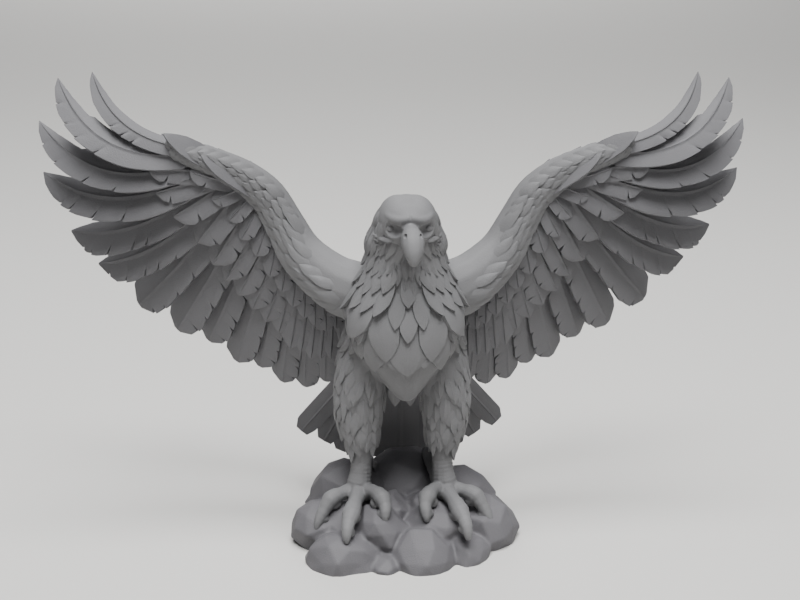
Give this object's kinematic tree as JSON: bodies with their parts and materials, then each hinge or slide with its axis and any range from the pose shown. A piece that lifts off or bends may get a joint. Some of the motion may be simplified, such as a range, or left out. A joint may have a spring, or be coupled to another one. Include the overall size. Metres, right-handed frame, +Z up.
{
  "type": "eagle statuette",
  "caption": "Matt grey statuette of an eagle with raised, spread wings, fanned tail and clawed feet, standing on a mound of rounded boulders with a flat underside.",
  "frame": {"origin": "centre of the rock's flat underside", "axes": "+Z up, the bird faces -Y, its left wing is towards +X, and the wingspan runs along X"},
  "size_m": [0.301, 0.1016, 0.1987],
  "materials": {
    "grey_resin": "matt"
  },
  "bodies": {
    "root": {"eagle_on_rock": "grey_resin"}
  },
  "joints": []
}
